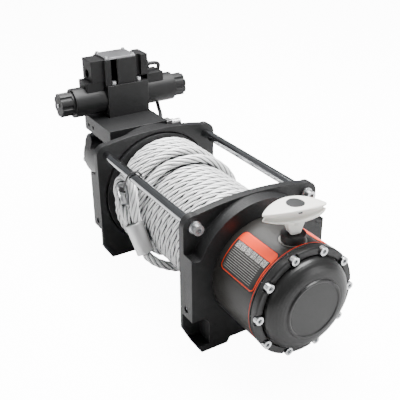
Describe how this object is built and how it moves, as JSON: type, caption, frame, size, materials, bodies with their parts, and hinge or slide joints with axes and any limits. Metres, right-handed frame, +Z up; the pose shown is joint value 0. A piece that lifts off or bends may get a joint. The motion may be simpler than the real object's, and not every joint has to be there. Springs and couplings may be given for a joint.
{
  "type": "hydraulic winch",
  "caption": "Planetary hydraulic winch: a rope drum between two end frames, with a gerotor motor, a solenoid valve, a clutch handle and a tied-up rope eye.",
  "frame": {"origin": "centre of the four foot bolts, on the plane the feet stand on", "axes": "+X along the drum axis towards the gearbox, +Y towards the rear (away from the rope eye), +Z up"},
  "size_m": [0.531, 0.207, 0.277],
  "materials": {
    "frame_paint": "satin",
    "gearbox_paint": "satin",
    "motor_paint": "satin",
    "chrome_bar": "polished",
    "zinc_steel": "satin",
    "drum_steel": "satin",
    "wire_rope": "galvanised",
    "ferrule_alloy": "satin",
    "bronze": "satin",
    "gear_steel": "oiled",
    "ivory_plastic": "gloss",
    "black_plastic": "matt",
    "black_nylon": "satin",
    "black_rubber": "matt",
    "valve_iron": "phosphated",
    "manifold_alloy": "machined",
    "lid_steel": "satin"
  },
  "bodies": {
    "base": {"motor_end_frame": "frame_paint", "gearbox_end_frame": "frame_paint", "front_tie_bar": "chrome_bar", "rear_tie_bar": "chrome_bar", "tie_bar_screws": "zinc_steel", "tie_bar_washers": "zinc_steel", "side_hole_plugs": "zinc_steel", "drum_bushes": "bronze", "rope_tail": "wire_rope", "ferrule": "ferrule_alloy", "rope_eye": "wire_rope", "thimble": "zinc_steel", "cable_tie": "black_nylon", "gearbox_housing": "gearbox_paint", "end_cap": "gearbox_paint", "cap_gasket": "black_rubber", "cap_screws": "zinc_steel", "ring_gear": "gear_steel", "shaft_bush": "bronze", "clutch_ring": "zinc_steel", "clutch_boss": "black_plastic", "clutch_spring": "gear_steel", "motor_adapter": "frame_paint", "motor_housing": "motor_paint", "rotor_ring": "motor_paint", "motor_end_cover": "motor_paint", "motor_bolts": "zinc_steel", "port_fittings": "zinc_steel", "port_caps": "black_nylon", "valve_bracket": "frame_paint", "bracket_screws": "zinc_steel", "manifold_block": "manifold_alloy", "valve_screws": "zinc_steel", "valve_body": "valve_iron", "valve_coils": "black_plastic", "coil_nuts": "black_plastic", "coil_connectors": "black_plastic", "junction_box": "black_plastic", "box_lid": "lid_steel", "box_screws": "zinc_steel", "lead_gland": "black_nylon", "valve_lead": "black_rubber", "lead_socket": "zinc_steel"},
    "drum_group": {"drum": "drum_steel", "rope_core": "wire_rope", "rope_winding": "wire_rope", "rope_anchor_screw": "zinc_steel", "planet_carrier": "gear_steel"},
    "shaft_group": {"drive_shaft": "gear_steel", "sun_gear": "gear_steel", "inner_rotor": "gear_steel"},
    "planet_1": {"planet_gear_1": "gear_steel"},
    "planet_2": {"planet_gear_2": "gear_steel"},
    "planet_3": {"planet_gear_3": "gear_steel"},
    "motor_outer_rotor": {"outer_rotor": "gear_steel"},
    "plunger": {"clutch_plunger": "gear_steel"},
    "handle": {"clutch_handle": "ivory_plastic"},
    "spool": {"valve_spool": "gear_steel"},
    "pin_left": {"override_pin_left": "zinc_steel"},
    "pin_right": {"override_pin_right": "zinc_steel"}
  },
  "joints": [
    {"name": "drum_spin", "type": "hinge", "parent": "base", "child": "drum_group", "pos_m": [0, 0, 0.096], "axis": [1, 0, 0], "continuous": true},
    {"name": "shaft_spin", "type": "hinge", "parent": "base", "child": "shaft_group", "pos_m": [0, 0, 0.096], "axis": [1, 0, 0], "continuous": true},
    {"name": "outer_rotor_spin", "type": "hinge", "parent": "base", "child": "motor_outer_rotor", "pos_m": [-0.25, -0.0025, 0.096], "axis": [1, 0, 0], "continuous": true},
    {"name": "planet_1_spin", "type": "hinge", "parent": "drum_group", "child": "planet_1", "pos_m": [0.198, 0, 0.12525], "axis": [1, 0, 0], "continuous": true},
    {"name": "planet_2_spin", "type": "hinge", "parent": "drum_group", "child": "planet_2", "pos_m": [0.198, -0.02533, 0.08138], "axis": [1, 0, 0], "continuous": true},
    {"name": "planet_3_spin", "type": "hinge", "parent": "drum_group", "child": "planet_3", "pos_m": [0.198, 0.02533, 0.08138], "axis": [1, 0, 0], "continuous": true},
    {"name": "clutch_lift", "type": "slide", "parent": "base", "child": "plunger", "axis": [0, 0, 1], "range_m": [0, 0.007], "stiffness_N_per_m": 1500, "springref_m": -0.004, "deforming": ["clutch_spring"]},
    {"name": "handle_turn", "type": "hinge", "parent": "plunger", "child": "handle", "pos_m": [0.198, 0, 0.18], "axis": [0, 0, 1], "range_deg": [0, 90]},
    {"name": "spool_shift", "type": "slide", "parent": "base", "child": "spool", "axis": [0, 1, 0], "range_m": [-0.003, 0.003], "stiffness_N_per_m": 4000},
    {"name": "pin_left_push", "type": "slide", "parent": "base", "child": "pin_left", "axis": [0, 1, 0], "range_m": [0, 0.0025], "stiffness_N_per_m": 1000, "springref_m": -0.0005},
    {"name": "pin_right_push", "type": "slide", "parent": "base", "child": "pin_right", "axis": [0, -1, 0], "range_m": [0, 0.0025], "stiffness_N_per_m": 1000, "springref_m": -0.0005}
  ],
  "couplings": [
    {"joint": "shaft_spin", "follows": "drum_spin", "ratio": 6.5},
    {"joint": "outer_rotor_spin", "follows": "drum_spin", "ratio": 5.5714},
    {"joint": "planet_1_spin", "follows": "drum_spin", "ratio": -2.4444},
    {"joint": "planet_2_spin", "follows": "drum_spin", "ratio": -2.4444},
    {"joint": "planet_3_spin", "follows": "drum_spin", "ratio": -2.4444}
  ]
}
